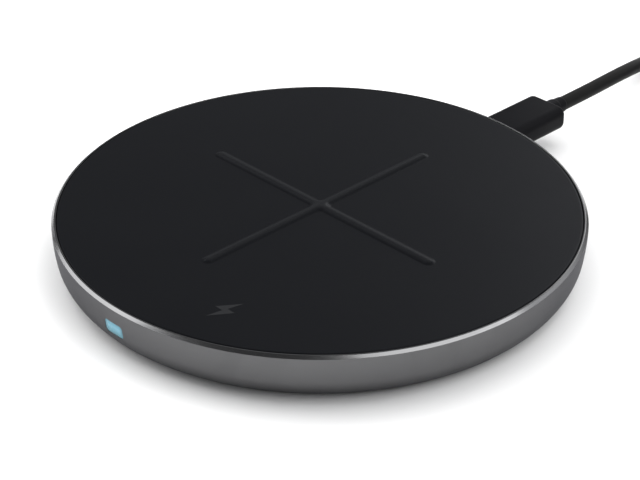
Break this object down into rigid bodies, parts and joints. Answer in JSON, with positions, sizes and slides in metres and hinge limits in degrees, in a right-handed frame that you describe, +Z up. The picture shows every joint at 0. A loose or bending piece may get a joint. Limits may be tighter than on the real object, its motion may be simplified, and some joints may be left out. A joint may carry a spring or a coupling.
{
  "type": "wireless charging pad",
  "caption": "Slim round charging pad: aluminium bowl housing with a bright rim, soft black top with a raised cross, blue status window and a USB lead that unplugs.",
  "frame": {"origin": "middle of the surface that the pad stands on, measured without its lead", "axes": "+Z up; +Y to the rear, where the lead plugs in; the status window faces -Y"},
  "size_m": [0.1, 0.2047, 0.0112],
  "materials": {
    "housing_aluminium": "space-grey anodised, satin blasted, rim cut bright",
    "soft_skin": "soft-touch skin with a fine grain, matte black",
    "base_plastic": "moulded black plastic, fine spark texture",
    "foot_rubber": "soft black silicone rubber, matte",
    "inner_plastic": "moulded dark grey plastic",
    "adhesive_film": "thin double-sided film",
    "screw_steel": "small zinc-plated screws",
    "ferrite": "sintered ferrite plate, dark grey",
    "copper_winding": "enamelled stranded copper wire",
    "component_black": "moulded component bodies, black",
    "board_laminate": "green glass-epoxy laminate with solder mask",
    "capacitor_ceramic": "ceramic chip capacitors, tan",
    "led_lens": "small surface-mounted lamp",
    "window_light": "clear light pipe, glowing cyan blue",
    "connector_steel": "drawn and plated connector shells",
    "connector_black": "black connector insulator",
    "contact_gold": "gold-plated contacts",
    "plug_plastic": "soft moulded black plastic, satin",
    "cord_jacket": "extruded black cable jacket, satin",
    "tie_strap": "black woven hook-and-loop strap",
    "usb_a_plastic": "white connector insulator"
  },
  "bodies": {
    "pad": {"aluminium_housing": "housing_aluminium", "bottom_plate": "base_plastic", "bridge_transistors": "component_black", "charging_coil": "copper_winding", "circuit_board": "board_laminate", "coil_adhesive": "adhesive_film", "coil_leads": "copper_winding", "controller_chip": "component_black", "cover_screws": "screw_steel", "ferrite_shield": "ferrite", "foot_adhesive": "adhesive_film", "foot_ring": "foot_rubber", "inner_frame": "inner_plastic", "input_capacitors": "capacitor_ceramic", "led_window": "window_light", "power_inductor": "component_black", "resonant_capacitors": "capacitor_ceramic", "skin_adhesive": "adhesive_film", "status_led": "led_lens", "temperature_sensor": "component_black", "top_plate": "inner_plastic", "top_skin": "soft_skin", "usb_socket_contacts": "contact_gold", "usb_socket_shell": "connector_steel", "usb_socket_tongue": "connector_black"},
    "cable": {"cable_tie": "tie_strap", "cord": "cord_jacket", "cord_coil": "cord_jacket", "cord_tail": "cord_jacket", "plug_contacts": "contact_gold", "plug_insert": "connector_black", "plug_overmould": "plug_plastic", "plug_relief": "plug_plastic", "plug_shell": "connector_steel", "usb_a_contacts": "contact_gold", "usb_a_insert": "usb_a_plastic", "usb_a_overmould": "plug_plastic", "usb_a_relief": "plug_plastic", "usb_a_shell": "connector_steel"}
  },
  "joints": [
    {"name": "cable_unplug", "type": "slide", "parent": "pad", "child": "cable", "axis": [0, 1, 0], "range_m": [0, 0.012]}
  ]
}
